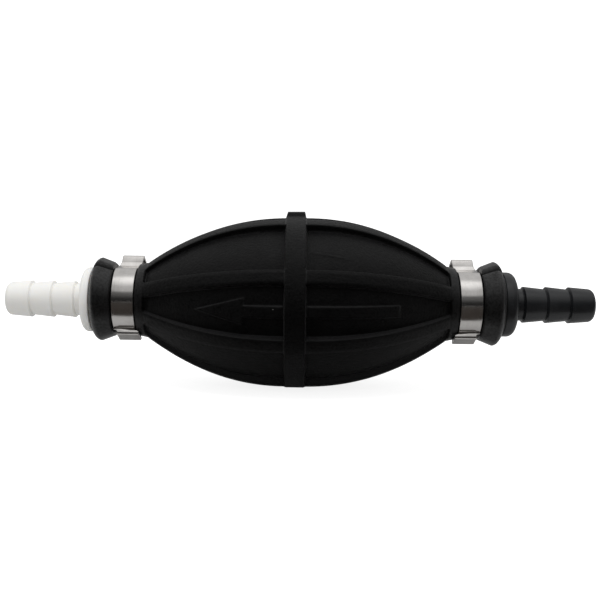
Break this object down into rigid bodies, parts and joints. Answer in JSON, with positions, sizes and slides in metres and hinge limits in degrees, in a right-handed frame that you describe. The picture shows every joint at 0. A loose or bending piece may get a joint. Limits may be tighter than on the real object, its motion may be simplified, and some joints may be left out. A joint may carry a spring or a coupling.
{
  "type": "siphon bulb pump",
  "caption": "Hand-squeezed ribbed rubber bulb with a barbed hose fitting, a spring check valve and an ear clamp at each end, for priming or siphoning fuel.",
  "frame": {"origin": "on the bulb's axis, halfway between the tips of the two barbed fittings", "axes": "+X along the axis towards the inlet fitting, so liquid flows towards -X; -Y towards the side with the raised flow arrow; +Z towards the raised pad on the hoop"},
  "size_m": [0.1676, 0.049, 0.0503],
  "materials": {
    "bulb_rubber": "matte moulded fuel-resistant rubber",
    "white_nylon": "natural white moulded nylon, slightly waxy",
    "black_nylon": "black moulded nylon, satin",
    "clamp_steel": "bright rolled stainless strip with rounded edges",
    "spring_steel": "drawn stainless wire",
    "valve_acetal": "moulded acetal",
    "seal_rubber": "smooth nitrile"
  },
  "bodies": {
    "pump_body": {"bulb_body": "bulb_rubber", "outlet_fitting": "white_nylon", "inlet_fitting": "black_nylon", "outlet_clamp": "clamp_steel", "inlet_clamp": "clamp_steel", "outlet_valve_seat": "valve_acetal", "outlet_valve_cage": "valve_acetal", "outlet_valve_spring": "spring_steel", "inlet_valve_seat": "valve_acetal", "inlet_valve_cage": "valve_acetal", "inlet_valve_spring": "spring_steel"},
    "front_wall": {"bulb_front_wall": "bulb_rubber"},
    "back_wall": {"bulb_back_wall": "bulb_rubber"},
    "outlet_poppet": {"outlet_valve_poppet": "valve_acetal", "outlet_valve_seal": "seal_rubber"},
    "inlet_poppet": {"inlet_valve_poppet": "valve_acetal", "inlet_valve_seal": "seal_rubber"}
  },
  "joints": [
    {"name": "front_squeeze", "type": "slide", "parent": "pump_body", "child": "front_wall", "axis": [0, 1, 0], "range_m": [0, 0.008], "stiffness_N_per_m": 2500, "deforming": ["bulb_front_wall"]},
    {"name": "back_squeeze", "type": "slide", "parent": "pump_body", "child": "back_wall", "axis": [0, -1, 0], "range_m": [0, 0.008], "stiffness_N_per_m": 2500, "deforming": ["bulb_back_wall"]},
    {"name": "outlet_valve_lift", "type": "slide", "parent": "pump_body", "child": "outlet_poppet", "axis": [-1, 0, 0], "range_m": [0, 0.002], "stiffness_N_per_m": 60, "springref_m": -0.004, "deforming": ["outlet_valve_spring"]},
    {"name": "inlet_valve_lift", "type": "slide", "parent": "pump_body", "child": "inlet_poppet", "axis": [-1, 0, 0], "range_m": [0, 0.002], "stiffness_N_per_m": 60, "springref_m": -0.004, "deforming": ["inlet_valve_spring"]}
  ],
  "couplings": [
    {"joint": "back_squeeze", "follows": "front_squeeze", "ratio": 1}
  ]
}
